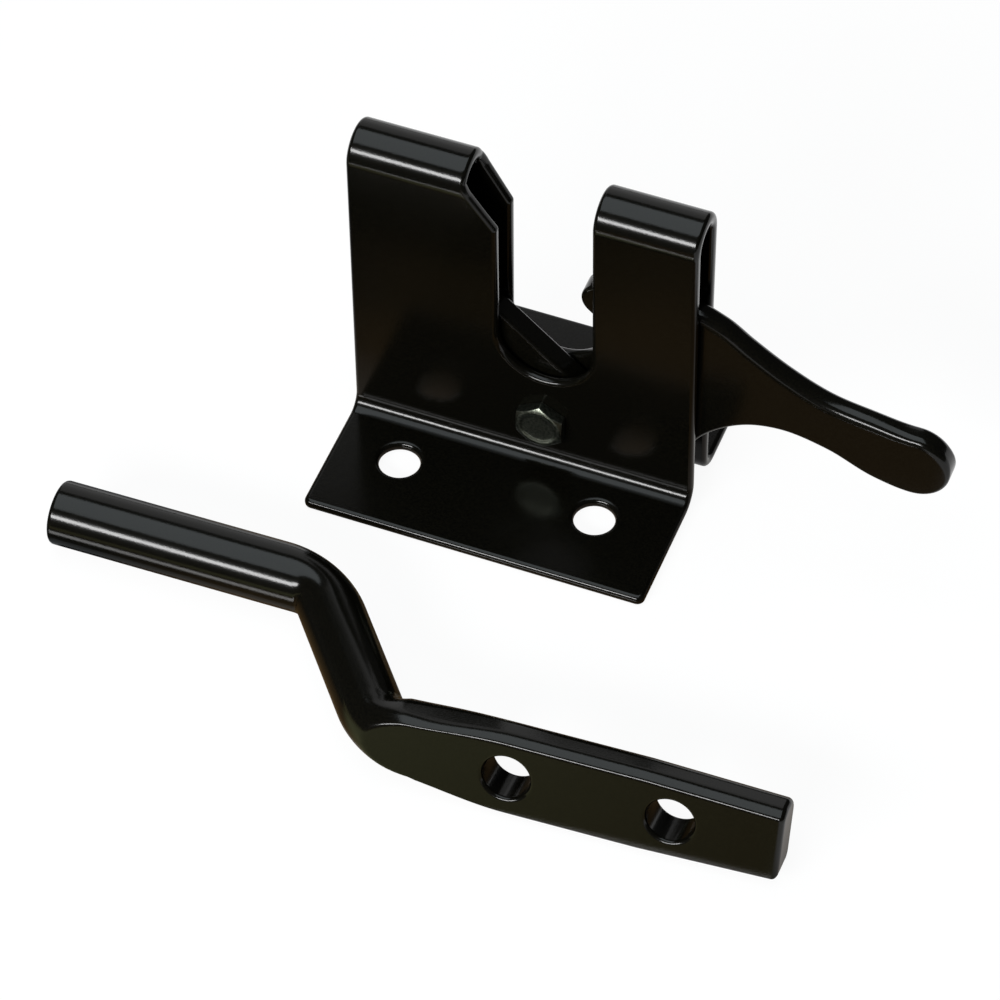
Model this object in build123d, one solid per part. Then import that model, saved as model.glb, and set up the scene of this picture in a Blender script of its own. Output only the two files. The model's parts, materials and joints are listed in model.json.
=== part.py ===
"""A gate latch: a folded sheet-metal catch with a pivoting lever, and the offset strike bar it holds.

Units are millimetres. The origin is the centre of the four flange holes on the mounting face.
X runs along the flange from the post with the lead-in to the handle's side, Y away from the viewer, Z up.
"""
from math import acos, asin, atan2, cos, degrees, pi, radians, sin, sqrt, tan
import os

from build123d import *

# Folded sheet
sheet_thickness = 2.2
wall_gap = 5.4
fold_height = 73.1
plate_length = 68.0
plate_left = 32.95
flange_front = 31.3
flange_rear = 29.9
bend_inside_radius = 2.8
flange_corner_radius = 1.5

# Slot for the bar
slot_width = 18.7
slot_centre = 5.45
slot_floor = 23.5
lead_in_width = 6.0
lead_in_height = 9.6
lead_in_foot = 60.4

# Flange holes
hole_diameter = 7.9
hole_spacing_x = 39.3
hole_spacing_y = 30.9

# Pivot bolt and nut
pivot_height = 12.4
pivot_offset = -0.3
bolt_diameter = 6.0
hex_across_flats = 9.5
bolt_head_height = 3.0
nut_height = 5.0
bolt_end_length = 1.6
hex_chamfer_width = 0.8
hex_chamfer_height = 0.6
wall_hole_clearance = 0.1
running_clearance = 0.05
thread_clearance = 0.02

# Lever, drawn open, with places measured from the pivot
lever_thickness = 4.7
lever_edge_round = 0.8
closing_angle = 42.0
bar_clearance = 0.1
mouth_height = 17.2
throat_centre = 1.5
jaw_reach = 22.0
jaw_tip_radius = 3.0
nose_radius = 3.95
nose_reach = 14.9
shoulder_reach = 27.0
handle_reach = 71.5
handle_end_height = 12.9
handle_end_radius = 7.0
heel_reach = 26.3
heel_drop = 12.0
heel_round = 5.0

# Strike bar
rod_diameter = 12.7
rod_length = 53.0
rod_end_round = 0.9
leg_length = 36.8
leg_angle = 53.8
toe_in = 1.7
bend_radius = 9.5
flat_height = 15.4
flat_thickness = 7.8
flat_length = 76.0
flat_run_out = 19.0
flat_taper_length = 26.0
flat_end_taper = 0.9
flat_back_round = 2.0
flat_twist = 12.0
strike_hole_diameter = 9.0
strike_hole_round = 0.8
strike_hole_spacing = 30.6
strike_hole_end = 20.5
strike_x = 3.25
strike_y = -81.1
strike_heading = 2.7

# Worked out
fold_width = wall_gap + 2 * sheet_thickness
fold_outer_radius = fold_width / 2
fold_centre = fold_height - fold_outer_radius
plate_centre = plate_length / 2 - plate_left
pivot_x = slot_centre + pivot_offset
bolt_radius = bolt_diameter / 2
rod_radius = rod_diameter / 2
jaw_level = slot_floor - pivot_height - bar_clearance
hub_radius = jaw_level
past = 2 * plate_length


def folded_section():
    """The sheet's section: flange, wall, rolled top, wall and flange, with true bends."""
    outside = Pos(0, fold_centre / 2) * Rectangle(fold_width, fold_centre)
    outside += Pos(0, fold_centre) * Circle(fold_outer_radius)
    flange_span = flange_front + flange_rear
    flange_middle = (flange_rear - flange_front) / 2
    outside += Pos(flange_middle, sheet_thickness / 2) * Rectangle(flange_span, sheet_thickness)
    gap = Pos(0, fold_centre / 2) * Rectangle(wall_gap, fold_centre)
    gap += Pos(0, fold_centre) * Circle(wall_gap / 2)
    section = outside - gap
    for side in (-1, 1):
        inner = section.vertices().sort_by_distance((side * fold_width / 2, sheet_thickness))[0]
        section = fillet(inner, bend_inside_radius)
        outer = section.vertices().sort_by_distance((side * wall_gap / 2, 0))[0]
        section = fillet(outer, bend_inside_radius + sheet_thickness)
    return section


def slot_cutter():
    """The open slot with its round floor, and the lead-in on the left post."""
    round_floor = slot_floor + slot_width / 2
    left = slot_centre - slot_width / 2
    right = slot_centre + slot_width / 2
    above = fold_height + sheet_thickness
    outline = Polyline(
        (left, round_floor),
        (left, lead_in_foot),
        (left - lead_in_width, lead_in_foot + lead_in_height),
        (left - lead_in_width, above),
        (right, above),
        (right, round_floor),
        close=True,
    )
    shape = make_face(outline) + Pos(slot_centre, round_floor) * Circle(slot_width / 2)
    return extrude(Plane.XZ * shape, past, both=True)


def make_latch_body():
    """The one-piece folded sheet with its slot, flange holes and pivot hole."""
    section = Plane.YZ * folded_section()
    sheet = Pos(plate_centre, 0, 0) * extrude(section, plate_length / 2, both=True)
    corners = [
        edge
        for edge in sheet.edges().filter_by(Axis.Z)
        if abs(edge.center().Y) > fold_width and edge.length < 1.5 * sheet_thickness
    ]
    sheet = fillet(corners, flange_corner_radius)
    sheet -= slot_cutter()
    for side_x in (-1, 1):
        for side_y in (-1, 1):
            place = Pos(side_x * hole_spacing_x / 2, side_y * hole_spacing_y / 2, 0)
            sheet -= place * Cylinder(hole_diameter / 2, 4 * sheet_thickness)
    pivot_hole = Cylinder(bolt_radius + wall_hole_clearance, 2 * fold_width)
    sheet -= Pos(pivot_x, 0, pivot_height) * Rot(90, 0, 0) * pivot_hole
    return sheet


def open_point(along, level):
    """A point that is given with the jaw level, on the open lever."""
    turn = radians(closing_angle)
    return (along * cos(turn) + level * sin(turn), level * cos(turn) - along * sin(turn))


def arc_point(centre, radius, angle):
    """The point of a circle at an angle."""
    turn = radians(angle)
    return (centre[0] + radius * cos(turn), centre[1] + radius * sin(turn))


def mouth_side():
    """The lever's left side: hub, jaw, mouth and nose, from the hub's foot to the nose's top."""
    tip = open_point(-jaw_reach, jaw_level - jaw_tip_radius)
    nose = open_point(-nose_reach, jaw_level + mouth_height + nose_radius)
    throat = open_point(throat_centre, jaw_level + mouth_height / 2)
    tip_distance = sqrt(tip[0] ** 2 + tip[1] ** 2)
    tip_direction = degrees(atan2(tip[1], tip[0]))
    underside = tip_direction + degrees(acos((hub_radius - jaw_tip_radius) / tip_distance))
    jaw_up = 90 - closing_angle
    mouth_down = -90 - closing_angle
    return [
        CenterArc((0, 0), hub_radius, 270, underside - 270),
        Line(arc_point((0, 0), hub_radius, underside), arc_point(tip, jaw_tip_radius, underside)),
        CenterArc(tip, jaw_tip_radius, underside, jaw_up - underside),
        Line(arc_point(tip, jaw_tip_radius, jaw_up), arc_point(throat, mouth_height / 2, mouth_down)),
        CenterArc(throat, mouth_height / 2, mouth_down, 180),
        Line(arc_point(throat, mouth_height / 2, jaw_up), arc_point(nose, nose_radius, mouth_down)),
        CenterArc(nose, nose_radius, mouth_down, -270 - mouth_down),
    ]


def handle_side():
    """The lever's right side, from the nose's top along the handle and round to the hub's foot."""
    nose = open_point(-nose_reach, jaw_level + mouth_height + nose_radius)
    shoulder = (shoulder_reach, nose[1] + nose_radius)
    top_end = (handle_reach, handle_end_height + handle_end_radius)
    low_end = (handle_reach, handle_end_height - handle_end_radius)
    heel = (heel_reach, heel_round - heel_drop)
    heel_foot = (heel_reach - heel_round, -heel_drop)

    def upper(share, rise):
        return (shoulder_reach + share * (handle_reach - shoulder_reach), handle_end_height + rise)

    def lower(share, rise):
        return (heel_reach + share * (handle_reach - heel_reach), handle_end_height + rise)

    handle_top = Spline(
        shoulder,
        upper(0.16, 22.0),
        upper(0.28, 17.9),
        upper(0.45, 12.9),
        upper(0.62, 9.4),
        upper(0.81, 7.8),
        top_end,
        tangents=[(1, 0), (1, 0)],
    )
    handle_low = Spline(
        low_end,
        lower(0.84, -5.9),
        lower(0.63, -1.8),
        lower(0.435, -0.2),
        lower(0.31, -1.2),
        lower(0.17, -4.9),
        lower(0.075, -9.6),
        heel,
        tangents=[(-1, 0), (0, -1)],
    )
    return [
        Line((nose[0], shoulder[1]), shoulder),
        handle_top,
        CenterArc((handle_reach, handle_end_height), handle_end_radius, 90, -180),
        handle_low,
        CenterArc((heel_foot[0], heel[1]), heel_round, 0, -90),
        Line(heel_foot, (0, -hub_radius)),
    ]


def lever_face():
    """The lever's side view, open, about the pivot."""
    outline = [edge for line in mouth_side() + handle_side() for edge in line.edges()]
    return make_face(outline) - Circle(bolt_radius + running_clearance)


def make_lever():
    """The cast lever: jaw, hooked nose, heel and handle in one piece, with rounded edges."""
    lever = extrude(Plane.XZ * lever_face(), lever_thickness / 2, both=True)
    bore_reach = bolt_radius + 2 * running_clearance
    rims = [
        edge
        for edge in lever.edges()
        if abs(abs(edge.center().Y) - lever_thickness / 2) < 1e-4
        and edge.bounding_box().size.X > 2 * bore_reach
    ]
    lever = fillet(rims, lever_edge_round)
    return Pos(pivot_x, 0, pivot_height) * lever


def hexagon(height):
    """A hexagonal blank with its corners up and down, chamfered on its outer face."""
    corner_radius = hex_across_flats / sqrt(3)
    blank = extrude(RegularPolygon(hex_across_flats / 2, 6, major_radius=False, rotation=30), height)
    turned = Pos(0, 0, height / 2) * Cylinder(corner_radius, height)
    rim = turned.edges().sort_by(Axis.Z)[-1]
    return blank & chamfer(rim, hex_chamfer_height, hex_chamfer_width)


def make_pivot_bolt():
    """The bolt that the lever turns on, with its head on the front wall."""
    shank_length = fold_width + nut_height + bolt_end_length
    shank = Pos(0, 0, -shank_length / 2) * Cylinder(bolt_radius, shank_length)
    shank = chamfer(shank.edges().sort_by(Axis.Z)[0], bolt_radius / 6)
    seat = Plane((pivot_x, -fold_width / 2, pivot_height), x_dir=(1, 0, 0), z_dir=(0, -1, 0))
    return seat.location * (hexagon(bolt_head_height) + shank)


def make_pivot_nut():
    """The nut on the rear wall."""
    nut = hexagon(nut_height) - Cylinder(bolt_radius + thread_clearance, 4 * nut_height)
    seat = Plane((pivot_x, fold_width / 2, pivot_height), x_dir=(1, 0, 0), z_dir=(0, 1, 0))
    return seat.location * nut


def rest_placement(rod_end):
    """Lays the strike down so that its round rod and its flat's lower edge both touch the floor."""
    tilt = 0.0
    flat_axis_height = 0.0
    for _ in range(6):
        lean = radians(flat_twist) + tilt
        along_height = (flat_height / 2 - flat_back_round) * cos(lean)
        along_depth = (flat_thickness / 2 - flat_back_round) * sin(lean)
        flat_axis_height = along_height + along_depth + flat_back_round
        tilt = asin((flat_axis_height - rod_radius) / rod_end[1])
    stand = Pos(strike_x, strike_y, flat_axis_height)
    return stand * Rot(0, 0, strike_heading) * Rot(-degrees(tilt), 0, 0)


def strike_section(x, height):
    """A section across the strike's flat end, leaning back, with spare depth in front of the face."""
    lean = radians(flat_twist)
    plane = Plane((x, 0, 0), x_dir=(0, sin(lean), cos(lean)), z_dir=(1, 0, 0))
    outline = RectangleRounded(height, flat_thickness + flat_back_round, flat_back_round)
    return plane * (Pos(0, flat_back_round / 2) * outline)


def face_plane(depth):
    """A plane parallel to the strike's flat face, at a depth in front of its middle."""
    lean = radians(flat_twist)
    out = (0, -cos(lean), sin(lean))
    return Plane((0, depth * out[1], depth * out[2]), x_dir=(1, 0, 0), z_dir=out)


def make_strike_bar():
    """The forged bar: a round rod, an offset leg and a flattened end with two holes."""
    leg = radians(leg_angle)
    toe = radians(toe_in)
    first_bend = (-leg_length * cos(leg), leg_length * sin(leg))
    rod_end = (first_bend[0] - rod_length * cos(toe), first_bend[1] + rod_length * sin(toe))
    bend_end = bend_radius * tan(leg / 2)
    path = FilletPolyline(rod_end, first_bend, (0, 0), (bend_end + rod_radius, 0), radius=bend_radius)
    rod = sweep(Plane((*rod_end, 0), z_dir=path % 0) * Circle(rod_radius), path=path)
    rod = split(rod, Plane.YZ.offset(bend_end), keep=Keep.BOTTOM)
    rod = fillet(rod.edges().sort_by(Axis.X)[0], rod_end_round)

    neck = Plane.YZ.offset(bend_end) * Circle(rod_radius)
    widest = strike_section(flat_run_out, flat_height)
    shoulder = strike_section(flat_length - flat_taper_length, flat_height)
    end = strike_section(flat_length, flat_height - 2 * flat_end_taper)
    bar = rod + loft([neck, widest], ruled=True) + loft([widest, shoulder], ruled=True)
    bar += loft([shoulder, end], ruled=True)
    bar -= extrude(face_plane(flat_thickness / 2) * Rectangle(4 * flat_length, past), rod_diameter)

    for from_end in (strike_hole_end, strike_hole_end + strike_hole_spacing):
        hole = Cylinder(strike_hole_diameter / 2, 4 * flat_thickness)
        bar -= face_plane(0).location * Pos(flat_length - from_end, 0, 0) * hole
    hole_girth = pi * strike_hole_diameter
    rims = [edge for edge in bar.edges().filter_by(GeomType.CIRCLE) if abs(edge.length - hole_girth) < 1e-3]
    bar = fillet(rims, strike_hole_round)
    return rest_placement(rod_end) * bar


def main():
    """Builds each piece and writes it to its own file."""
    os.makedirs("parts", exist_ok=True)
    pieces = {
        "latch_body": make_latch_body(),
        "latch_lever": make_lever(),
        "pivot_bolt": make_pivot_bolt(),
        "pivot_nut": make_pivot_nut(),
        "strike_bar": make_strike_bar(),
    }
    for node, piece in pieces.items():
        export_step(piece, f"parts/{node}.step")


if __name__ == "__main__":
    main()
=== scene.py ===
"""A gate latch in black enamel: the folded catch with its hooked lever, and the forged strike bar."""

import json
from math import acos, asin, atan2, cos, degrees, hypot, pi, radians, sin, sqrt

import bmesh
import bpy
from mathutils import Matrix, Vector


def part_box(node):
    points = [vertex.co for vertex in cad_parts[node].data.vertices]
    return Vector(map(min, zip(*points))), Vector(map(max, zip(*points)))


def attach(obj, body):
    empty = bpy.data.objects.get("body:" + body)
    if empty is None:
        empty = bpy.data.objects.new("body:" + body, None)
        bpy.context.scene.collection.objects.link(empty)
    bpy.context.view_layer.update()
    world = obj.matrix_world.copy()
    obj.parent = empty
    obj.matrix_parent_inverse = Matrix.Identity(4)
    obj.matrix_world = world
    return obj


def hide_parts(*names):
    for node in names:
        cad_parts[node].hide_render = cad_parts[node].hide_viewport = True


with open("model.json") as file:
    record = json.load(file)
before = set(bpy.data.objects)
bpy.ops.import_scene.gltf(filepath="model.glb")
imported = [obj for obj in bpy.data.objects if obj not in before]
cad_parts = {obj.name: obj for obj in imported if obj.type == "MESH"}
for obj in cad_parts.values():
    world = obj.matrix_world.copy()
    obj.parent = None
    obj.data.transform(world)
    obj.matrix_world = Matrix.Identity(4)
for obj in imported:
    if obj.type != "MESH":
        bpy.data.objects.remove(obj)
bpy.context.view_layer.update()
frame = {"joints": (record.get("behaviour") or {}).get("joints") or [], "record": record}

# Sizes in millimetres. The frame gives what the solids have already settled.
MM = 0.001


def in_mm(corner):
    """A place in the frame, in millimetres."""
    return [value / MM for value in corner]


body_low, body_high = [in_mm(corner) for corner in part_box("latch_body")]
mounts = {mount["name"]: mount for mount in frame["record"]["mounts"]}
pivot_joint = frame["joints"][0]
pivot_x, _, pivot_z = in_mm(pivot_joint["pos_m"])
closing_angle = pivot_joint["range_deg"][1]

# The folded sheet
sheet_thickness = 2.2
wall_gap = 5.4
wall_span = wall_gap + 2 * sheet_thickness
bend_inside_radius = 2.8
flange_corner_radius = 1.5
sheet_edge_round = 0.97
slot_width = 18.7
slot_centre = 5.45
slot_floor = 23.5
lead_in_width = 6.0
lead_in_height = 9.6
lead_in_foot = 60.4
lead_in_round = 1.2
lead_in_round_drop = 0.6
lead_in_round_turn = 32
wall_bore_play = 0.1
wall_bore_round = 0.1
roll_swell = 1.15
roll_blend = 11.0

# The bolt and its nut
hex_across_flats = 9.2
hex_face_inset = 0.25
hex_chamfer_slope = 0.58
bolt_diameter = 6.0
bolt_head_height = 2.3
bolt_end_length = 1.6
bolt_end_chamfer = 0.5
bolt_edge_round = 0.14
shank_play = 0.12
head_neck = 0.3
head_rim = 0.9
dish_depth = 0.22
dish_side = 0.5
dish_floor_edge = 1.7
thread_pitch = 1.0
thread_depth = 0.55
thread_run_out = 0.4
thread_ridge_share = 0.45
nut_height = 5.0
nut_play = 0.02
nut_countersink = 0.4
nut_edge_round = 0.12

# The lever, its reaches and heights taken from the pivot. The shares run along the handle's top and
# belly, each with its height above the middle of the handle's end.
lever_thickness = 4.7
lever_top_round = 2.1
lever_low_round = 0.7
lever_bore_play = 0.05
lever_bore_round = 0.2
jaw_level = 11.0
mouth_height = 17.2
throat_centre = 1.5
jaw_reach = 22.0
jaw_tip_radius = 3.0
nose_radius = 3.95
nose_reach = 14.9
shoulder_reach = 27.0
handle_reach = 71.26
handle_end_height = 13.15
handle_end_radius = 7.2
handle_crest = [(0.16, 22.4), (0.28, 18.5), (0.45, 13.6), (0.62, 10.1), (0.81, 8.45)]
handle_belly = [(0.075, -9.6), (0.17, -4.9), (0.31, -1.2), (0.435, -0.2), (0.63, -1.8), (0.84, -5.9)]
handle_round_start = (20, 33)
handle_round_fade = (62, 74)
handle_round_loss = 0.35
handle_up_facing = (-0.2, 0.7)
heel_reach = 26.3
heel_drop = 12.0
heel_round = 5.0

# The strike bar, drawn with its flat along x. The rings are places along the rod, shares of the leg
# and places along the flat, and the front and back shares are of the leg's half width.
rod_radius = 6.15
rod_length = 53.0
rod_end_round = 0.9
rod_rings = (8, 16, 24)
leg_length = 36.8
leg_angle = 53.8
leg_half_width = 5.75
leg_front_share = 1.1
bar_back_share = 0.03
leg_rings = (0.55, 0.75)
toe_in = 1.7
outer_bend_round = 24.0
inner_bend_round = 1.0
heel_bend_round = 20.0
neck_round = 2.6
neck_rise = 7.2
neck_back = 6.2
forged_from = -5
forged_to = 25
flat_length = 76.0
flat_half_height = 7.7
flat_half_depth = 3.9
flat_top = 8.65
flat_front_spare = 0.9
flat_taper_length = 26.0
flat_end_taper = 0.9
flat_end_round = 1.1
flat_rounds = (3.6, 3.4, 2.0, 1.0)
flat_least_round = 0.3
flat_twist = 12.0
flat_near_step = 1.2
flat_near_rings = 18
flat_gap_ring = 6
flat_far_rings = (56, 62, 68, 72)
rim_round = 0.35
strike_hole_end = 20.5
strike_hole_radius = 4.5
strike_hole_round = 0.8

EDGE_STEPS = 8
BEND_STEPS = 28
QUARTER_STEPS = 22
CIRCLE_STEPS = 96


def node(tree, kind, settings=None, links=None):
    """Adds one node, sets its properties and inputs, and links its inputs to other nodes' outputs."""
    made = tree.nodes.new(kind)
    for key, value in (settings or {}).items():
        if isinstance(key, int) or key in made.inputs:
            made.inputs[key].default_value = value
        else:
            setattr(made, key, value)
    for key, source in (links or {}).items():
        tree.links.new(source, made.inputs[key])
    return made


def linear(hex_colour):
    """An sRGB hex colour as linear RGBA."""
    values = [int(hex_colour[i:i + 2], 16) / 255 for i in (1, 3, 5)]
    return [v / 12.92 if v <= 0.04045 else ((v + 0.055) / 1.055) ** 2.4 for v in values] + [1.0]


def set_ramp(ramp_node, stops):
    """Puts a colour ramp's stops, each a place and a hex colour."""
    ramp = ramp_node.color_ramp
    while len(ramp.elements) < len(stops):
        ramp.elements.new(0.5)
    for element, (place, colour) in zip(ramp.elements, stops):
        element.position = place
        element.color = linear(colour)


def empty_tree(owner):
    """The node tree of a new material or world, cleared."""
    owner.use_nodes = True
    owner.node_tree.nodes.clear()
    return owner.node_tree


def black_coat():
    """Baked black enamel over steel: dipped and stoved, so it is smooth and half glossy, with a fine
    orange peel that softens reflections and an olive-brown cast where light reaches into it."""
    peel_mm = 0.35
    cloud_mm = 14.0
    material = bpy.data.materials.new("black_enamel")
    tree = empty_tree(material)
    place = node(tree, "ShaderNodeTexCoord").outputs["Object"]
    peel_size = {"Scale": 1 / (peel_mm * MM), "Detail": 3.0}
    peel = node(tree, "ShaderNodeTexNoise", peel_size, {"Vector": place}).outputs["Fac"]
    cloud_size = {"Scale": 1 / (cloud_mm * MM), "Detail": 2.0}
    cloud = node(tree, "ShaderNodeTexNoise", cloud_size, {"Vector": place}).outputs["Fac"]
    tint = node(tree, "ShaderNodeValToRGB", links={"Fac": peel})
    set_ramp(tint, [(0.3, "#030302"), (0.7, "#0b0a06")])
    gloss = node(tree, "ShaderNodeMapRange", {"To Min": 0.12, "To Max": 0.18}, {"Value": cloud})
    relief = node(tree, "ShaderNodeBump", {"Strength": 0.3, "Distance": 0.03 * MM}, {"Height": peel})
    shader = node(
        tree,
        "ShaderNodeBsdfPrincipled",
        {"IOR": 1.5, "Specular IOR Level": 0.27, "Metallic": 0.0},
        {
            "Base Color": tint.outputs["Color"],
            "Roughness": gloss.outputs["Result"],
            "Normal": relief.outputs["Normal"],
        },
    )
    node(tree, "ShaderNodeOutputMaterial", links={"Surface": shader.outputs["BSDF"]})
    return material


def zinc_plate():
    """Zinc on a cold-headed steel bolt, gone dull and dark: a soft metal gleam, faintly green, with a
    fine mottle."""
    grain_mm = 0.5
    material = bpy.data.materials.new("dull_zinc")
    tree = empty_tree(material)
    place = node(tree, "ShaderNodeTexCoord").outputs["Object"]
    grain_size = {"Scale": 1 / (grain_mm * MM), "Detail": 4.0}
    grain = node(tree, "ShaderNodeTexNoise", grain_size, {"Vector": place}).outputs["Fac"]
    tint = node(tree, "ShaderNodeValToRGB", links={"Fac": grain})
    set_ramp(tint, [(0.3, "#4c5148"), (0.7, "#7c8074")])
    gloss = node(tree, "ShaderNodeMapRange", {"To Min": 0.24, "To Max": 0.4}, {"Value": grain})
    relief = node(tree, "ShaderNodeBump", {"Strength": 0.4, "Distance": 0.05 * MM}, {"Height": grain})
    shader = node(
        tree,
        "ShaderNodeBsdfPrincipled",
        {"Metallic": 1.0},
        {
            "Base Color": tint.outputs["Color"],
            "Roughness": gloss.outputs["Result"],
            "Normal": relief.outputs["Normal"],
        },
    )
    node(tree, "ShaderNodeOutputMaterial", links={"Surface": shader.outputs["BSDF"]})
    return material


ENAMEL = black_coat()
ZINC = zinc_plate()


def arc(centre, radius, start, end, steps):
    """Points along an arc, its angles in degrees and both its ends included."""
    turns = [radians(start + (end - start) * step / steps) for step in range(steps + 1)]
    return [(centre[0] + radius * cos(turn), centre[1] + radius * sin(turn)) for turn in turns]


def curve_through(points, first, last, steps):
    """A smooth curve through points, with its direction given at both ends."""
    places = [Vector(point) for point in points]
    spans = [(b - a).length for a, b in zip(places, places[1:])]
    ways = [Vector(first).normalized()]
    for i in range(1, len(places) - 1):
        before = (places[i] - places[i - 1]) / spans[i - 1]
        after = (places[i + 1] - places[i]) / spans[i]
        ways.append((before * spans[i] + after * spans[i - 1]) / (spans[i] + spans[i - 1]))
    ways.append(Vector(last).normalized())
    found = [tuple(places[0])]
    for i, span in enumerate(spans):
        for step in range(1, steps + 1):
            t = step / steps
            start_share = 2 * t**3 - 3 * t**2 + 1
            end_share = 3 * t**2 - 2 * t**3
            start_way = (t**3 - 2 * t**2 + t) * span
            end_way = (t**3 - t**2) * span
            point = places[i] * start_share + places[i + 1] * end_share
            point += ways[i] * start_way + ways[i + 1] * end_way
            found.append(tuple(point))
    return found


def smooth_step(value, low, high):
    """A share that eases from 0 at low to 1 at high."""
    share = min(max((value - low) / (high - low), 0), 1)
    return share * share * (3 - 2 * share)


def without_repeats(points):
    """A closed outline with no two neighbours in one place."""
    kept = []
    for point in points:
        if not kept or hypot(point[0] - kept[-1][0], point[1] - kept[-1][1]) > 1e-4:
            kept.append(point)
    if hypot(kept[0][0] - kept[-1][0], kept[0][1] - kept[-1][1]) < 1e-4:
        kept.pop()
    return kept


def inset_outline(points, insets):
    """A closed outline moved to its left by a distance for each of its points."""
    moved = []
    count = len(points)
    for i in range(count):
        before = Vector(points[i]) - Vector(points[i - 1])
        after = Vector(points[(i + 1) % count]) - Vector(points[i])
        left_before = Vector((-before.y, before.x)).normalized()
        left_after = Vector((-after.y, after.x)).normalized()
        shift = (left_before + left_after) / (1 + left_before.dot(left_after))
        moved.append(tuple(Vector(points[i]) + shift * insets[i]))
    return moved


def skin(form, rings):
    """Joins rings of points with faces, and returns their vertices."""
    made = [[form.verts.new(point) for point in ring] for ring in rings]
    for low, high in zip(made, made[1:]):
        for i in range(len(low)):
            form.faces.new((low[i - 1], low[i], high[i], high[i - 1]))
    return made


def capped(rings):
    """A form through rings of points, closed at both ends."""
    form = bmesh.new()
    made = skin(form, rings)
    form.faces.new(made[0])
    form.faces.new(made[-1])
    bmesh.ops.recalc_face_normals(form, faces=form.faces)
    return form


def plate(outlines, thickness):
    """A flat plate with rounded edges, about its middle plane. Each outline has the material on its
    left, and comes with its edge rounding, one for all or one a point. The first runs round the plate,
    and the others round its holes."""
    form = bmesh.new()
    bottoms = []
    tops = []
    for points, rounding in outlines:
        roundings = rounding if isinstance(rounding, list) else [rounding] * len(points)
        turns = [radians(90 * step / EDGE_STEPS) for step in range(EDGE_STEPS + 1)]
        lower = []
        for turn in turns:
            outline = inset_outline(points, [size * (1 - sin(turn)) for size in roundings])
            levels = [size * (1 - cos(turn)) - thickness / 2 for size in roundings]
            lower.append([(x, y, level) for (x, y), level in zip(outline, levels)])
        upper = [[(x, y, -level) for x, y, level in ring] for ring in reversed(lower)]
        rings = skin(form, lower + upper)
        bottoms += [form.edges.get((rings[0][i - 1], rings[0][i])) for i in range(len(points))]
        tops += [form.edges.get((rings[-1][i - 1], rings[-1][i])) for i in range(len(points))]
    bmesh.ops.triangle_fill(form, use_beauty=True, use_dissolve=False, edges=bottoms)
    bmesh.ops.triangle_fill(form, use_beauty=True, use_dissolve=False, edges=tops)
    return form


def to_object(form, name):
    """Puts a form into the scene as an object, and frees it."""
    mesh = bpy.data.meshes.new(name)
    form.to_mesh(mesh)
    form.free()
    made = bpy.data.objects.new(name, mesh)
    bpy.context.scene.collection.objects.link(made)
    return made


def as_modified(draft):
    """A new mesh of an object as its modifiers leave it."""
    bpy.context.view_layer.update()
    return bpy.data.meshes.new_from_object(draft.evaluated_get(bpy.context.evaluated_depsgraph_get()))


def clean(form):
    """Merges a form's doubles and turns its faces outwards."""
    bmesh.ops.remove_doubles(form, verts=form.verts, dist=1e-4)
    bmesh.ops.recalc_face_normals(form, faces=form.faces)


def finish_piece(form, name, material, body, slot, *nodes):
    """Turns a form in millimetres into a piece that rides on a body and stands for its solids."""
    clean(form)
    form.transform(Matrix.Scale(MM, 4))
    piece = to_object(form, name)
    piece.data.shade_smooth()
    piece.data.materials.append(material)
    normals = piece.modifiers.new("even_shading", "WEIGHTED_NORMAL")
    normals.weight = 80
    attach(piece, body)
    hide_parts(*nodes)
    return piece


def on_pivot(y, facing=-1):
    """Stands a form that was drawn lying on the pivot's axis, its top to the front (-1) or rear (1)."""
    return Matrix(((1, 0, 0, pivot_x), (0, 0, facing, y), (0, 1, 0, pivot_z), (0, 0, 0, 1)))


# The folded sheet: drawn flat as a blank, along x and its developed length, and then folded

wall_middle = wall_gap / 2 + sheet_thickness / 2
bend_radius = bend_inside_radius + sheet_thickness / 2
fold_centre = body_high[2] - wall_gap / 2 - sheet_thickness
flange_front_run = -body_low[1] - wall_middle - bend_radius
flange_rear_run = body_high[1] - wall_middle - bend_radius
wall_foot = sheet_thickness / 2 + bend_radius
wall_run = fold_centre - wall_foot
bend_run = bend_radius * pi / 2
roll_run = wall_middle * pi
front_wall_start = flange_front_run + bend_run
roll_start = front_wall_start + wall_run
rear_wall_start = roll_start + roll_run
rear_bend_start = rear_wall_start + wall_run
rear_flange_start = rear_bend_start + bend_run
blank_length = rear_flange_start + flange_rear_run


def developed(height, rear=False):
    """The place along the blank of a height on the front or the rear wall."""
    if height <= fold_centre:
        along = front_wall_start + height - wall_foot
    else:
        along = roll_start + wall_middle * asin((height - fold_centre) / wall_middle)
    return 2 * roll_start + roll_run - along if rear else along


def folded(point):
    """Where a point of the blank lies once the sheet is folded."""
    x, along, out = point
    flange_level = sheet_thickness / 2 + out
    inner = bend_radius - out
    outer = wall_middle + out
    bend_place = wall_middle + bend_radius
    if along < flange_front_run:
        return (x, body_low[1] + along, flange_level)
    if along < front_wall_start:
        turn = (along - flange_front_run) / bend_radius
        return (x, -bend_place + inner * sin(turn), wall_foot - inner * cos(turn))
    if along < roll_start:
        return (x, -outer, wall_foot + along - front_wall_start)
    if along < rear_wall_start:
        turn = (along - roll_start) / wall_middle
        return (x, -outer * cos(turn), fold_centre + outer * sin(turn))
    if along < rear_bend_start:
        return (x, outer, fold_centre - (along - rear_wall_start))
    if along < rear_flange_start:
        turn = (along - rear_bend_start) / bend_radius
        return (x, bend_place - inner * cos(turn), wall_foot - inner * sin(turn))
    return (x, bend_place + along - rear_flange_start, flange_level)


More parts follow.
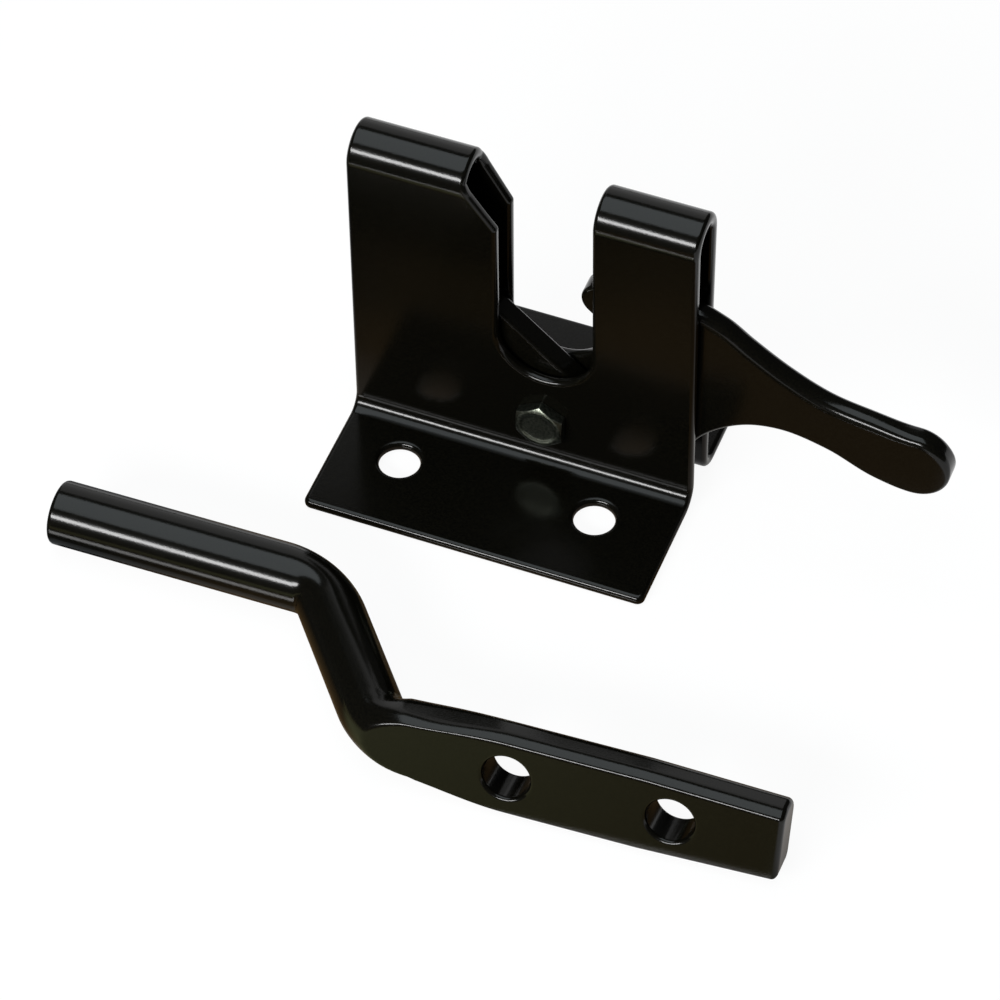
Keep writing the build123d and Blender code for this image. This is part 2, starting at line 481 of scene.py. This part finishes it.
def full_roll(point):
    """Swells the rolled top a little beyond the walls, as a sheet bent round a bar comes out."""
    x, y, z = point
    share = smooth_step(z, fold_centre - roll_blend, fold_centre)
    top = body_high[2]
    if z > fold_centre:
        z = top - (top - z) * roll_swell
    else:
        z -= (top - fold_centre) * (roll_swell - 1) * share
    return (x, y * (1 + (roll_swell - 1) * share), z)


def round_hole(centre, radius, steps=48):
    """A hole's outline, with the material on its left."""
    return without_repeats(arc(centre, radius, 0, -360, steps))


def make_latch_body():
    """The blank with its slot and holes, folded into flanges, walls and rolled top."""
    left, right = body_low[0], body_high[0]
    corner = flange_corner_radius
    outline = arc((left + corner, corner), corner, 180, 270, 8)
    outline += arc((right - corner, corner), corner, 270, 360, 8)
    outline += arc((right - corner, blank_length - corner), corner, 0, 90, 8)
    outline += arc((left + corner, blank_length - corner), corner, 90, 180, 8)
    outlines = [(without_repeats(outline), sheet_edge_round)]

    slot_left = slot_centre - slot_width / 2
    round_floor = slot_floor + slot_width / 2
    lead_in_top = lead_in_foot + lead_in_height
    slot = arc((slot_centre, developed(round_floor)), slot_width / 2, 360, 180, 32)
    turn = lead_in_round_turn
    turn_height = lead_in_foot - lead_in_round_drop
    turn_x = slot_left - lead_in_round
    slot += arc((turn_x, developed(turn_height)), lead_in_round, 0, turn, 4)
    slot += [(slot_left - lead_in_width, developed(lead_in_top))]
    slot += [(slot_left - lead_in_width, developed(lead_in_top, rear=True))]
    slot += arc((turn_x, developed(turn_height, rear=True)), lead_in_round, -turn, 0, 4)
    slot += arc((slot_centre, developed(round_floor, rear=True)), slot_width / 2, 180, 0, 32)
    outlines.append((without_repeats(slot), sheet_edge_round))

    flange_holes = mounts["flange_holes"]["dims"]
    front_row = -flange_holes["spacing_y_mm"] / 2 - body_low[1]
    rear_row = rear_flange_start + flange_holes["spacing_y_mm"] / 2 - wall_middle - bend_radius
    for side in (-1, 1):
        for row in (front_row, rear_row):
            place = (side * flange_holes["spacing_x_mm"] / 2, row)
            outlines.append((round_hole(place, flange_holes["hole_r_mm"]), sheet_edge_round))
    for rear in (False, True):
        place = (pivot_x, developed(pivot_z, rear))
        outlines.append((round_hole(place, bolt_diameter / 2 + wall_bore_play), wall_bore_round))

    form = plate(outlines, sheet_thickness)
    fold_lines = []
    for start, run, steps in (
        (flange_front_run, bend_run, 10),
        (roll_start, roll_run, 36),
        (rear_bend_start, bend_run, 10),
    ):
        fold_lines += [start + run * step / steps for step in range(steps + 1)]
    for line in fold_lines:
        everything = form.verts[:] + form.edges[:] + form.faces[:]
        bmesh.ops.bisect_plane(
            form, geom=everything, dist=1e-5, plane_co=(0, line, 0), plane_no=(0, 1, 0)
        )
    for vertex in form.verts:
        vertex.co = full_roll(folded(vertex.co))
    return finish_piece(form, "folded_body", ENAMEL, "latch_base", "black_coat", "latch_body")


# The lever, drawn open about its pivot

def open_point(along, level):
    """A point that is given with the jaw level, on the open lever."""
    turn = radians(closing_angle)
    return (along * cos(turn) + level * sin(turn), level * cos(turn) - along * sin(turn))


def lever_outline():
    """The lever's side view, anticlockwise from the hub's foot."""
    tip = open_point(-jaw_reach, jaw_level - jaw_tip_radius)
    nose = open_point(-nose_reach, jaw_level + mouth_height + nose_radius)
    throat = open_point(throat_centre, jaw_level + mouth_height / 2)
    underside = degrees(atan2(tip[1], tip[0]) + acos((jaw_level - jaw_tip_radius) / hypot(*tip)))
    jaw_up = 90 - closing_angle
    mouth_down = -90 - closing_angle
    points = arc((0, 0), jaw_level, 270, underside, 20)
    points += arc(tip, jaw_tip_radius, underside, jaw_up, 20)
    points += arc(throat, mouth_height / 2, mouth_down, mouth_down + 180, 36)
    points += arc(nose, nose_radius, mouth_down, -270, 24)
    points.reverse()

    shoulder = (shoulder_reach, nose[1] + nose_radius)
    handle_span = handle_reach - shoulder_reach
    heel_span = handle_reach - heel_reach
    top = [shoulder]
    for share, rise in handle_crest:
        top.append((shoulder_reach + share * handle_span, handle_end_height + rise))
    top.append((handle_reach, handle_end_height + handle_end_radius))
    low = [(heel_reach, heel_round - heel_drop)]
    for share, rise in handle_belly:
        low.append((heel_reach + share * heel_span, handle_end_height + rise))
    low.append((handle_reach, handle_end_height - handle_end_radius))
    back = curve_through(top, (1, 0), (1, 0), 8)
    back += arc((handle_reach, handle_end_height), handle_end_radius, 90, -90, 32)
    back += list(reversed(curve_through(low, (0, 1), (1, 0), 8)))
    back += arc((heel_reach - heel_round, heel_round - heel_drop), heel_round, 0, -90, 12)
    back.reverse()
    return without_repeats(back + points)


def make_lever():
    """The cast lever with its jaw, nose, heel and handle. Its edges are well rounded where the handle
    faces up, for the thumb, and slightly elsewhere."""
    outline = lever_outline()
    bore = round_hole((0, 0), bolt_diameter / 2 + lever_bore_play)
    rounding = []
    for i, (x, _) in enumerate(outline):
        along = Vector(outline[(i + 1) % len(outline)]) - Vector(outline[i - 1])
        facing_up = smooth_step(-along.x / along.length, *handle_up_facing)
        on_handle = smooth_step(x, *handle_round_start)
        on_handle -= handle_round_loss * smooth_step(x, *handle_round_fade)
        rounding.append(lever_low_round + (lever_top_round - lever_low_round) * facing_up * on_handle)
    form = plate([(outline, rounding), (bore, lever_bore_round)], lever_thickness)
    form.transform(on_pivot(0))
    return finish_piece(form, "hooked_lever", ENAMEL, "lever", "black_coat", "latch_lever")


# The pivot bolt and its nut

def hexagon_radius(turn):
    """How far a hexagon's side is from its middle, with its corners at the axes' ends."""
    side = (turn + pi / 6) % (pi / 3) - pi / 6
    return hex_across_flats / 2 / cos(side - (pi / 6 if side > 0 else -pi / 6))


def circle_ring(radius, level, steps=CIRCLE_STEPS):
    """A level ring of points about the axis."""
    turns = [2 * pi * step / steps for step in range(steps)]
    return [(radius * cos(turn), radius * sin(turn), level) for turn in turns]


def hexagon_rings(height, chamfered_low=False):
    """Rings of a hexagonal blank from its seat up to the rim of its chamfered face."""
    face_radius = hex_across_flats / 2 - hex_face_inset
    low = []
    high = []
    for step in range(CIRCLE_STEPS):
        turn = 2 * pi * step / CIRCLE_STEPS
        reach = hexagon_radius(turn)
        drop = (reach - face_radius) * hex_chamfer_slope
        x, y = reach * cos(turn), reach * sin(turn)
        low.append((x, y, drop if chamfered_low else 0.0))
        high.append((x, y, height - drop))
    rings = [low, high, circle_ring(face_radius, height)]
    if chamfered_low:
        rings.insert(0, circle_ring(face_radius, 0.0))
    return rings


def soften(form, width, least_angle=20):
    """Rounds a form's sharp edges."""
    sharp = [
        edge
        for edge in form.edges
        if len(edge.link_faces) == 2 and edge.calc_face_angle(0) > radians(least_angle)
    ]
    bmesh.ops.bevel(
        form, geom=sharp, offset=width, segments=3, profile=0.5, affect="EDGES", clamp_overlap=True
    )


def wind_thread(form, core, start, length):
    """Winds a screw thread on a bolt's free end, as a ridge that follows a helix round its core."""
    sizes = {
        "Core": core,
        "Start": start,
        "Length": length,
        "Turns": length / thread_pitch,
        "Ridge": thread_pitch * thread_ridge_share,
    }
    tree = bpy.data.node_groups.new("wound_thread", "GeometryNodeTree")
    tree.interface.new_socket("Bolt", in_out="INPUT", socket_type="NodeSocketGeometry")
    for name in sizes:
        tree.interface.new_socket(name, in_out="INPUT", socket_type="NodeSocketFloat")
    tree.interface.new_socket("Bolt", in_out="OUTPUT", socket_type="NodeSocketGeometry")
    given = node(tree, "NodeGroupInput").outputs
    helix = node(
        tree,
        "GeometryNodeCurveSpiral",
        {"Resolution": 48},
        {
            "Rotations": given["Turns"],
            "Height": given["Length"],
            "Start Radius": given["Core"],
            "End Radius": given["Core"],
        },
    )
    ridge = node(tree, "GeometryNodeCurvePrimitiveCircle", {"Resolution": 3}, {"Radius": given["Ridge"]})
    wound = node(
        tree,
        "GeometryNodeCurveToMesh",
        {"Fill Caps": True},
        {"Curve": helix.outputs["Curve"], "Profile Curve": ridge.outputs["Curve"]},
    )
    place = node(tree, "ShaderNodeCombineXYZ", links={"Z": given["Start"]})
    placed = node(
        tree,
        "GeometryNodeTransform",
        links={"Geometry": wound.outputs["Mesh"], "Translation": place.outputs["Vector"]},
    )
    joined = node(tree, "GeometryNodeJoinGeometry")
    tree.links.new(placed.outputs["Geometry"], joined.inputs[0])
    tree.links.new(given["Bolt"], joined.inputs[0])
    real = node(tree, "GeometryNodeRealizeInstances", links={"Geometry": joined.outputs["Geometry"]})
    plated = node(
        tree, "GeometryNodeSetMaterial", {"Material": ZINC}, {"Geometry": real.outputs["Geometry"]}
    )
    node(tree, "NodeGroupOutput", links={0: plated.outputs["Geometry"]})

    blank = to_object(form, "blank")
    winding = blank.modifiers.new("thread", "NODES")
    winding.node_group = tree
    for item in tree.interface.items_tree:
        if item.in_out == "INPUT" and item.name in sizes:
            winding[item.identifier] = sizes[item.name]
    wound_mesh = as_modified(blank)
    bpy.data.objects.remove(blank)
    form = bmesh.new()
    form.from_mesh(wound_mesh)
    return form


def make_bolt():
    """The hex bolt: head on the front wall, plain shank in the lever, thread beyond the rear wall."""
    shank = bolt_diameter / 2
    shank_end = -(wall_span + nut_height + bolt_end_length)
    core = shank - thread_depth
    thread_start = shank_end + bolt_end_chamfer
    thread_end = shank_end + bolt_end_length + thread_run_out
    dish = hex_across_flats / 2 - head_rim
    dish_floor = bolt_head_height - dish_depth
    rings = [circle_ring(core - bolt_end_chamfer, shank_end), circle_ring(core, thread_start)]
    rings += [circle_ring(core, thread_end), circle_ring(shank - shank_play, thread_end)]
    rings += [circle_ring(shank - shank_play, -head_neck), circle_ring(shank, 0.0)]
    rings += hexagon_rings(bolt_head_height)
    rings += [circle_ring(dish, bolt_head_height), circle_ring(dish - dish_side, dish_floor)]
    rings.append(circle_ring(dish - dish_floor_edge, dish_floor))
    form = capped(rings)
    soften(form, bolt_edge_round)
    form = wind_thread(form, core, thread_start, bolt_end_length - thread_run_out)
    form.transform(on_pivot(-wall_span / 2) @ Matrix.Rotation(pi / 6, 4, "Z"))
    return finish_piece(form, "hex_bolt", ZINC, "latch_base", "zinc", "pivot_bolt")


def make_nut():
    """The hex nut on the rear wall."""
    bore = bolt_diameter / 2 + nut_play
    rim = bore + nut_countersink
    rings = [circle_ring(bore, nut_countersink), circle_ring(rim, 0.0)]
    rings += hexagon_rings(nut_height, chamfered_low=True)
    rings += [circle_ring(rim, nut_height), circle_ring(bore, nut_height - nut_countersink)]
    rings.append(circle_ring(bore, nut_countersink))
    form = bmesh.new()
    skin(form, rings)
    clean(form)
    soften(form, nut_edge_round)
    form.transform(on_pivot(wall_span / 2, facing=1) @ Matrix.Rotation(pi / 6, 4, "Z"))
    return finish_piece(form, "hex_nut", ZINC, "latch_base", "zinc", "pivot_nut")


# The strike bar, forged from round rod: drawn along its flat end from the second bend

def rounded_corner(before, corner, after, radius, steps):
    """Points of the arc that rounds a corner between two lines."""
    a = (Vector(before) - Vector(corner)).normalized()
    b = (Vector(after) - Vector(corner)).normalized()
    half = a.angle(b) / 2
    middle = Vector(corner) + (a + b).normalized() * (radius / sin(half))
    first = Vector(corner) + a * (radius / sin(half) * cos(half)) - middle
    last = Vector(corner) + b * (radius / sin(half) * cos(half)) - middle
    start = atan2(first.y, first.x)
    sweep = (atan2(last.y, last.x) - start + pi) % (2 * pi) - pi
    return arc(middle, radius, degrees(start), degrees(start + sweep), steps)


def bar_ring(middle, way, lean, reaches, rounds, forged):
    """A section of the bar about a point, from an oval (forged 0) to a slab (1). The reaches are to the
    front, back, top and bottom, and the rounds are the slab's corners, from the top front one on."""
    front, back, up, down = reaches
    side = Vector((way[0], way[1], 0)).normalized()
    top = Vector((0, 0, 1))
    out = side * cos(lean) + top * sin(lean)
    high = top * cos(lean) - side * sin(lean)
    centre = Vector((middle[0], middle[1], 0))
    ring = []
    for corner in range(4):
        ahead = 1 if corner in (0, 3) else -1
        above = 1 if corner < 2 else -1
        reach = front if ahead > 0 else back
        rise = up if above > 0 else down
        across = reach + (rounds[corner] - reach) * forged
        upright = rise + (rounds[corner] - rise) * forged
        for step in range(QUARTER_STEPS):
            turn = radians(90 * (corner + (step + 0.5) / QUARTER_STEPS))
            place = ahead * (reach - across) + across * cos(turn)
            level = above * (rise - upright) + upright * sin(turn)
            ring.append(centre + out * place + high * level)
    return ring


def forging(x):
    """How far the bar has gone from round to slab, from the heel on."""
    return smooth_step(x, forged_from, forged_to)


def round_section(front, back, lean=0.0, rise=None, spare=0.0):
    """A section of the bent rod between the points of its two edge lines, and its spare at the top."""
    middle = ((front[0] + back[0]) / 2, (front[1] + back[1]) / 2)
    way = (front[0] - back[0], front[1] - back[1])
    half = hypot(*way) / 2
    rise = half if rise is None else rise
    return bar_ring(middle, way, lean, (half, half, rise + spare, rise), flat_rounds, forging(middle[0]))


def crossing(point, way, other, other_way):
    """Where two lines cross."""
    turn = way.x * other_way.y - way.y * other_way.x
    gap = other - point
    return point + way * ((gap.x * other_way.y - gap.y * other_way.x) / turn)


def end_inset(x):
    """How far the flat's end has drawn in by its rounding."""
    into = max(x - flat_length + flat_end_round, 0)
    return flat_end_round - sqrt(max(flat_end_round * flat_end_round - into * into, 0))


def rod_and_leg():
    """The bar's rings along the rod, round the first bend, down the leg and round the heel, and where
    the heel ends."""
    leg = radians(leg_angle)
    toe = radians(toe_in)
    along_rod = Vector((cos(toe), -sin(toe)))
    along_leg = Vector((cos(leg), -sin(leg)))
    along_flat = Vector((1, 0))
    beside_rod = Vector((-along_rod.y, along_rod.x)) * rod_radius
    beside_leg = Vector((-along_leg.y, along_leg.x)) * leg_half_width
    rod_end = -along_leg * leg_length - along_rod * rod_length + beside_rod * bar_back_share
    leg_middle = beside_leg * bar_back_share
    leg_back = leg_middle + beside_leg
    leg_front = leg_middle - beside_leg * leg_front_share

    rings = []
    for step in range(6):
        turn = radians(90 * step / 5)
        place = rod_end + along_rod * (rod_end_round * (1 - cos(turn)))
        reach = beside_rod * (1 - rod_end_round / rod_radius * (1 - sin(turn)))
        rings.append(round_section(place - reach, place + reach))

    inner_corner = crossing(rod_end - beside_rod, along_rod, leg_front, along_leg)
    outer_corner = crossing(rod_end + beside_rod, along_rod, leg_back, along_leg)
    heel_corner = crossing(leg_front, along_leg, Vector((0, -rod_radius)), along_flat)
    neck_corner = crossing(leg_back, along_leg, Vector((0, neck_back)), along_flat)
    front = [rod_end + along_rod * place - beside_rod for place in rod_rings]
    back = [rod_end + along_rod * place + beside_rod for place in rod_rings]
    front += rounded_corner(front[0], inner_corner, inner_corner + along_leg, inner_bend_round, BEND_STEPS)
    back += rounded_corner(back[0], outer_corner, outer_corner + along_leg, outer_bend_round, BEND_STEPS)
    straight = (neck_corner - outer_corner).length
    for share in leg_rings:
        back.append(outer_corner + along_leg * straight * share)
        front.append(back[-1] - beside_leg * (1 + leg_front_share))
    front += rounded_corner(front[-1], heel_corner, heel_corner + along_flat, heel_bend_round, BEND_STEPS)
    back += rounded_corner(back[-1], neck_corner, neck_corner + along_flat, neck_round, BEND_STEPS)

    first = len(rod_rings)
    last = len(front) - 1
    for i, edges in enumerate(zip(front, back)):
        on_leg = smooth_step(i, first, first + BEND_STEPS - 1)
        on_leg -= smooth_step(i, last - BEND_STEPS - 1, last + 1)
        rise = rod_radius + (leg_half_width - rod_radius) * on_leg
        spare = (neck_rise - rod_radius) * smooth_step(i, last - 0.75 * BEND_STEPS, last)
        lean = radians(flat_twist) * smooth_step(i, last - BEND_STEPS, last)
        rings.append(round_section(*edges, lean, rise, spare))
    return rings, max(front[-1][0], back[-1][0])


def flat_rings(start):
    """The bar's rings along the flat, from the heel to the rounded end."""
    first = start + flat_near_step
    taper_start = flat_length - flat_taper_length
    stations = [first + flat_near_step * step for step in range(flat_near_rings)]
    stations += [stations[-1] + flat_gap_ring, taper_start, *flat_far_rings]
    for step in range(7):
        stations.append(flat_length - flat_end_round * (1 - sin(radians(90 * step / 6))))
    rings = []
    for x in stations:
        drawn = smooth_step(x, first - 2, forged_to)
        inset = end_inset(x)
        taper = flat_end_taper * max(0, x - taper_start) / flat_taper_length
        reaches = (
            rod_radius + (flat_half_depth + flat_front_spare - rod_radius) * drawn - inset,
            neck_back + (flat_half_depth - neck_back) * drawn - inset,
            neck_rise + (flat_top - neck_rise) * drawn - taper - inset,
            rod_radius + (flat_half_height - rod_radius) * drawn - taper - inset,
        )
        rounds = [max(corner - inset, flat_least_round) for corner in flat_rounds]
        rings.append(bar_ring((x, 0), (0, -1), radians(flat_twist), reaches, rounds, forging(x)))
    return rings


def flat_normal():
    """The way that the flat's face looks, in the bar's own drawing."""
    lean = radians(flat_twist)
    return Vector((0, -cos(lean), sin(lean)))


def make_strike_bar():
    """The whole bar, with the front of its flat pressed level and a small round left at the face's rim."""
    rings, heel_end = rod_and_leg()
    form = capped(rings + flat_rings(heel_end))
    out = flat_normal()
    for vertex in form.verts:
        limit = flat_half_depth - end_inset(vertex.co.x)
        reach = vertex.co.dot(out)
        if reach > limit - rim_round:
            short = max(limit + rim_round - reach, 0)
            vertex.co += out * (limit - short * short / (4 * rim_round) - reach)
    return form


def strike_stand():
    """The matrix that lays the drawn bar where its solid lies, and its holes' places along the flat."""
    inner, outer = [mounts[name] for name in ("strike_hole_inner", "strike_hole_outer")]
    place = Vector(in_mm(inner["pos_m"]))
    across = Vector(in_mm(outer["pos_m"])) - place
    out = Vector(inner["axis"])
    along = across.normalized()
    high = out.cross(along)
    if high.z < 0:
        high.negate()
    from_bend = flat_length - strike_hole_end - across.length
    lean = radians(flat_twist)
    back = -(out * cos(lean) - high * sin(lean))
    up = out * sin(lean) + high * cos(lean)
    turned = Matrix((along, back, up)).transposed().to_4x4()
    stand = Matrix.Translation(place - along * from_bend) @ turned
    return stand, (from_bend, from_bend + across.length)


def hole_cutter(place):
    """A pin that cuts a hole through the flat and rounds its rims."""
    levels = [(-4 * flat_half_depth, strike_hole_radius + strike_hole_round)]
    for step in range(6):
        turn = radians(90 * step / 5)
        level = strike_hole_round * (1 - sin(turn)) - flat_half_depth
        levels.append((level, strike_hole_radius + strike_hole_round * (1 - cos(turn))))
    levels.sort()
    levels += [(-level, radius) for level, radius in reversed(levels)]
    form = capped([circle_ring(radius, level, 64) for level, radius in levels])
    turned = Vector((0, 0, 1)).rotation_difference(flat_normal()).to_matrix().to_4x4()
    form.transform(Matrix.Translation((place, 0, 0)) @ turned)
    return to_object(form, "cutter")


def place_strike():
    """The forged strike bar with its two holes, laid on the ground beside the latch."""
    stand, hole_places = strike_stand()
    form = make_strike_bar()
    clean(form)
    bar = to_object(form, "strike_draft")
    for place in hole_places:
        cutter = hole_cutter(place)
        cut = bar.modifiers.new("hole", "BOOLEAN")
        cut.object = cutter
        cut.operation = "DIFFERENCE"
        cut.solver = "EXACT"
        solved = as_modified(bar)
        bar.modifiers.clear()
        bar.data = solved
        bpy.data.objects.remove(cutter)
    form = bmesh.new()
    form.from_mesh(bar.data)
    bpy.data.objects.remove(bar)
    form.transform(stand)
    return finish_piece(form, "forged_strike", ENAMEL, "latch_base", "black_coat", "strike_bar")


make_latch_body()
make_lever()
make_bolt()
make_nut()
place_strike()


# The pale floor, the studio light and the camera

def white_floor():
    """A white ground for the camera that keeps a soft shadow. The gloss of the coat and the zinc sees
    it white behind and beside the object, and in front of it a painted reflection: dim, warm painted shade
    with a pale painted highlight strip."""
    glow_share = 0.93
    # How pale the painted highlight strip is, how much of it stays on the right, and how brown the painted
    # shade is
    strip_paleness = 0.7
    strip_right_share = 0.28
    brown_share = 0.3

    # Where the painted reflections change, in metres from the object's middle
    strip_middle = -0.11
    strip_edge = (0.028, 0.02)
    strip_fade = (-0.03, 0.07)
    brown_from = (-0.065, -0.035)
    white_behind = (-0.02, 0.03)
    white_beside = (0.076, 0.09)

    bpy.ops.mesh.primitive_plane_add(size=6.0)
    floor = bpy.context.object
    floor.name = "studio_floor"
    material = bpy.data.materials.new("white_floor_painted_reflections")
    tree = empty_tree(material)
    path = node(tree, "ShaderNodeLightPath").outputs
    position = node(tree, "ShaderNodeTexCoord").outputs["Object"]
    place = node(tree, "ShaderNodeSeparateXYZ", links={0: position}).outputs

    # The white that the camera sees, with a little of the paper's own shade for the shadow
    paper = node(tree, "ShaderNodeBsdfDiffuse", {"Color": linear("#ffffff")})
    glow = node(tree, "ShaderNodeEmission", {"Strength": 1.0})
    white = node(tree, "ShaderNodeMixShader", {0: glow_share}, {1: paper.outputs[0], 2: glow.outputs[0]})

    # Painted reflections, seen only by gloss: a pale matte strip in front of the object as a painted
    # highlight, fading to the right, on a glossy ground of painted shade that is dark on the left and dim
    # brown elsewhere
    offset = node(tree, "ShaderNodeMath", {"operation": "SUBTRACT", 1: strip_middle}, {0: place["Y"]})
    offset = node(tree, "ShaderNodeMath", {"operation": "ABSOLUTE"}, {0: offset.outputs[0]})
    strip = node(
        tree,
        "ShaderNodeMapRange",
        {"From Min": strip_edge[0], "From Max": strip_edge[1]},
        {"Value": offset.outputs[0]},
    )
    across = node(
        tree,
        "ShaderNodeMapRange",
        {"From Min": strip_fade[0], "From Max": strip_fade[1], "To Min": 1.0, "To Max": strip_right_share},
        {"Value": place["X"]},
    )
    warm_shade_share = node(
        tree,
        "ShaderNodeMapRange",
        {"From Min": brown_from[0], "From Max": brown_from[1], "To Max": brown_share},
        {"Value": place["X"]},
    )
    shares = {0: strip.outputs[0], 1: across.outputs[0]}
    pale = node(tree, "ShaderNodeMath", {"operation": "MULTIPLY"}, shares)
    pale = node(tree, "ShaderNodeMath", {"operation": "MULTIPLY", 1: strip_paleness}, {0: pale.outputs[0]})
    pale = node(tree, "ShaderNodeMath", {"operation": "ADD"}, {0: pale.outputs[0], 1: warm_shade_share.outputs[0]})
    # The painted reflection's colours: dark painted shade on the left, dim brown painted shade, and the
    # pale painted highlight
    painted_reflection_tone = node(tree, "ShaderNodeValToRGB", links={"Fac": pale.outputs[0]})
    set_ramp(painted_reflection_tone, [(0.0, "#26272a"), (0.3, "#7a5f3c"), (1.0, "#cccd98")])
    sheen = node(tree, "ShaderNodeMapRange", {"To Min": 0.7, "To Max": 0.0}, {"Value": strip.outputs[0]})
    painted_reflection_table = node(
        tree,
        "ShaderNodeBsdfPrincipled",
        {"Roughness": 0.04, "IOR": 1.7},
        {"Base Color": painted_reflection_tone.outputs["Color"], "Specular IOR Level": sheen.outputs[0]},
    )

    # The camera sees the white everywhere, and gloss sees it behind and beside the object
    behind = node(
        tree,
        "ShaderNodeMapRange",
        {"From Min": white_behind[0], "From Max": white_behind[1]},
        {"Value": place["Y"]},
    )
    beside = node(
        tree,
        "ShaderNodeMapRange",
        {"From Min": white_beside[0], "From Max": white_beside[1]},
        {"Value": place["X"]},
    )
    sides = {0: behind.outputs[0], 1: beside.outputs[0]}
    lit = node(tree, "ShaderNodeMath", {"operation": "MAXIMUM"}, sides)
    gloss = {0: path["Is Glossy Ray"], 1: path["Is Transmission Ray"]}
    seen = node(tree, "ShaderNodeMath", {"operation": "MAXIMUM"}, gloss)
    seen = node(tree, "ShaderNodeMath", {"operation": "MULTIPLY"}, {0: seen.outputs[0], 1: lit.outputs[0]})
    eyes = {0: seen.outputs[0], 1: path["Is Camera Ray"]}
    seen = node(tree, "ShaderNodeMath", {"operation": "MAXIMUM"}, eyes)
    looks = {0: seen.outputs[0], 1: painted_reflection_table.outputs[0], 2: white.outputs[0]}
    mixed = node(tree, "ShaderNodeMixShader", links=looks)
    node(tree, "ShaderNodeOutputMaterial", links={"Surface": mixed.outputs[0]})
    floor.data.materials.append(material)


def studio_world():
    """A dim room, white where the camera sees it."""
    room_level = 0.07
    world = bpy.data.worlds.new("studio")
    bpy.context.scene.world = world
    tree = empty_tree(world)
    seen = node(tree, "ShaderNodeLightPath").outputs["Is Camera Ray"]
    strength = node(tree, "ShaderNodeMapRange", {"To Min": room_level, "To Max": 1.0}, {"Value": seen})
    backdrop = node(tree, "ShaderNodeBackground", links={"Strength": strength.outputs["Result"]})
    node(tree, "ShaderNodeOutputWorld", links={"Surface": backdrop.outputs[0]})


def soft_box(name, way, distance, size, radiance, colour="#ffffff"):
    """An area lamp facing the object from a direction, with the brightness that its face shows."""
    lamp = bpy.data.lights.new(name, "AREA")
    lamp.shape = "RECTANGLE"
    lamp.size, lamp.size_y = size
    lamp.energy = radiance * pi * size[0] * size[1]
    lamp.color = linear(colour)[:3]
    holder = bpy.data.objects.new(name, lamp)
    way = Vector(way).normalized()
    holder.location = way * distance
    holder.rotation_euler = way.to_track_quat("Z", "Y").to_euler()
    bpy.context.scene.collection.objects.link(holder)


def photo_camera():
    """The photograph's view, from the front right and half above."""
    camera = bpy.data.cameras.new("camera")
    camera.sensor_width = 36
    camera.lens = 193.4
    camera.shift_y = 0.001
    camera.clip_end = 20
    holder = bpy.data.objects.new("camera", camera)
    holder.location = (0.24266, -0.62496, 0.76938)
    holder.rotation_euler = (radians(40.396), radians(0.336), radians(21.258))
    bpy.context.scene.collection.objects.link(holder)
    bpy.context.scene.camera = holder


white_floor()
studio_world()
daylight = "#f1fbff"
soft_box("overhead", (-0.12, -0.03, 1.0), distance=1.3, size=(1.3, 1.2), radiance=2.2, colour=daylight)
soft_box("back_left", (-0.35, 0.85, 0.45), distance=1.6, size=(1.1, 1.3), radiance=0.7)
soft_box("front_strip", (-0.25, -0.86, 0.46), distance=1.5, size=(1.1, 0.26), radiance=30.0)
photo_camera()
bpy.context.scene.view_settings.view_transform = "Standard"
